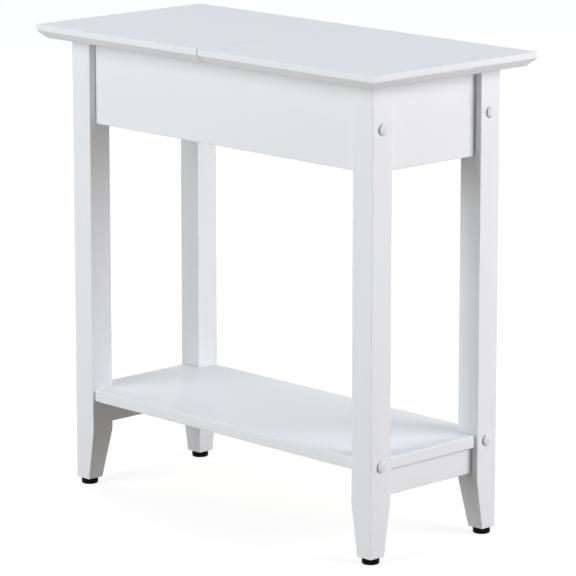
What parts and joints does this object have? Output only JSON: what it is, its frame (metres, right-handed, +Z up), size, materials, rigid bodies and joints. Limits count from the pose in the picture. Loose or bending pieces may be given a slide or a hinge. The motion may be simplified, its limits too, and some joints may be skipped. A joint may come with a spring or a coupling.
{
  "type": "lift top end table",
  "caption": "Slim rectangular end table with square tapered legs, a lower shelf, and a split top whose right half lifts on concealed hinges over a storage box.",
  "frame": {"origin": "on the floor, under the centre of the table top", "axes": "+X along the length, towards the end whose half of the top lifts; +Y from the front to the back, the short way; +Z up"},
  "size_m": [0.61, 0.286, 0.61],
  "materials": {
    "white_paint": "satin paint",
    "white_panel": "melamine",
    "bare_pine": "planed",
    "zinc_steel": "zinc plated",
    "hinge_brass": "turned",
    "hinge_steel": "stamped",
    "white_plastic": "moulded, slight gloss",
    "beech": "fluted, bare",
    "soft_pad": "soft, clear",
    "black_plastic": "moulded"
  },
  "bodies": {
    "frame": {"leg_front_left": "white_paint", "leg_front_right": "white_paint", "leg_rear_left": "white_paint", "leg_rear_right": "white_paint", "apron_front": "white_paint", "apron_rear": "white_paint", "apron_left": "white_paint", "apron_right": "white_paint", "seam_rail": "white_paint", "top_fixed": "white_paint", "rail_left": "white_paint", "rail_right": "white_paint", "shelf": "white_paint", "storage_bottom": "white_panel", "cleat_front": "bare_pine", "cleat_rear": "bare_pine", "cleat_screws": "zinc_steel", "shelf_screws": "zinc_steel", "leg_bolts": "zinc_steel", "cross_dowel_nuts": "zinc_steel", "glide_nails": "zinc_steel", "hinge_screws_fixed": "zinc_steel", "hinge_barrels_fixed": "hinge_brass", "bolt_caps": "white_plastic", "apron_dowels": "beech", "side_frame_dowels": "beech", "seam_rail_dowels": "beech", "lid_pads": "soft_pad", "glide_front_left": "black_plastic", "glide_front_right": "black_plastic", "glide_rear_left": "black_plastic", "glide_rear_right": "black_plastic"},
    "lid": {"top_lid": "white_paint", "hinge_barrels_lid": "hinge_brass", "hinge_screws_lid": "zinc_steel"},
    "hinge_links": {"hinge_links": "hinge_steel"}
  },
  "joints": [
    {"name": "lid_hinge", "type": "hinge", "parent": "frame", "child": "lid", "pos_m": [0, 0, 0.61], "axis": [0, -1, 0], "range_deg": [0, 100]},
    {"name": "hinge_link_turn", "type": "hinge", "parent": "frame", "child": "hinge_links", "pos_m": [0, 0, 0.61], "axis": [0, -1, 0], "range_deg": [0, 50]}
  ],
  "couplings": [
    {"joint": "hinge_link_turn", "follows": "lid_hinge", "ratio": 0.5}
  ]
}
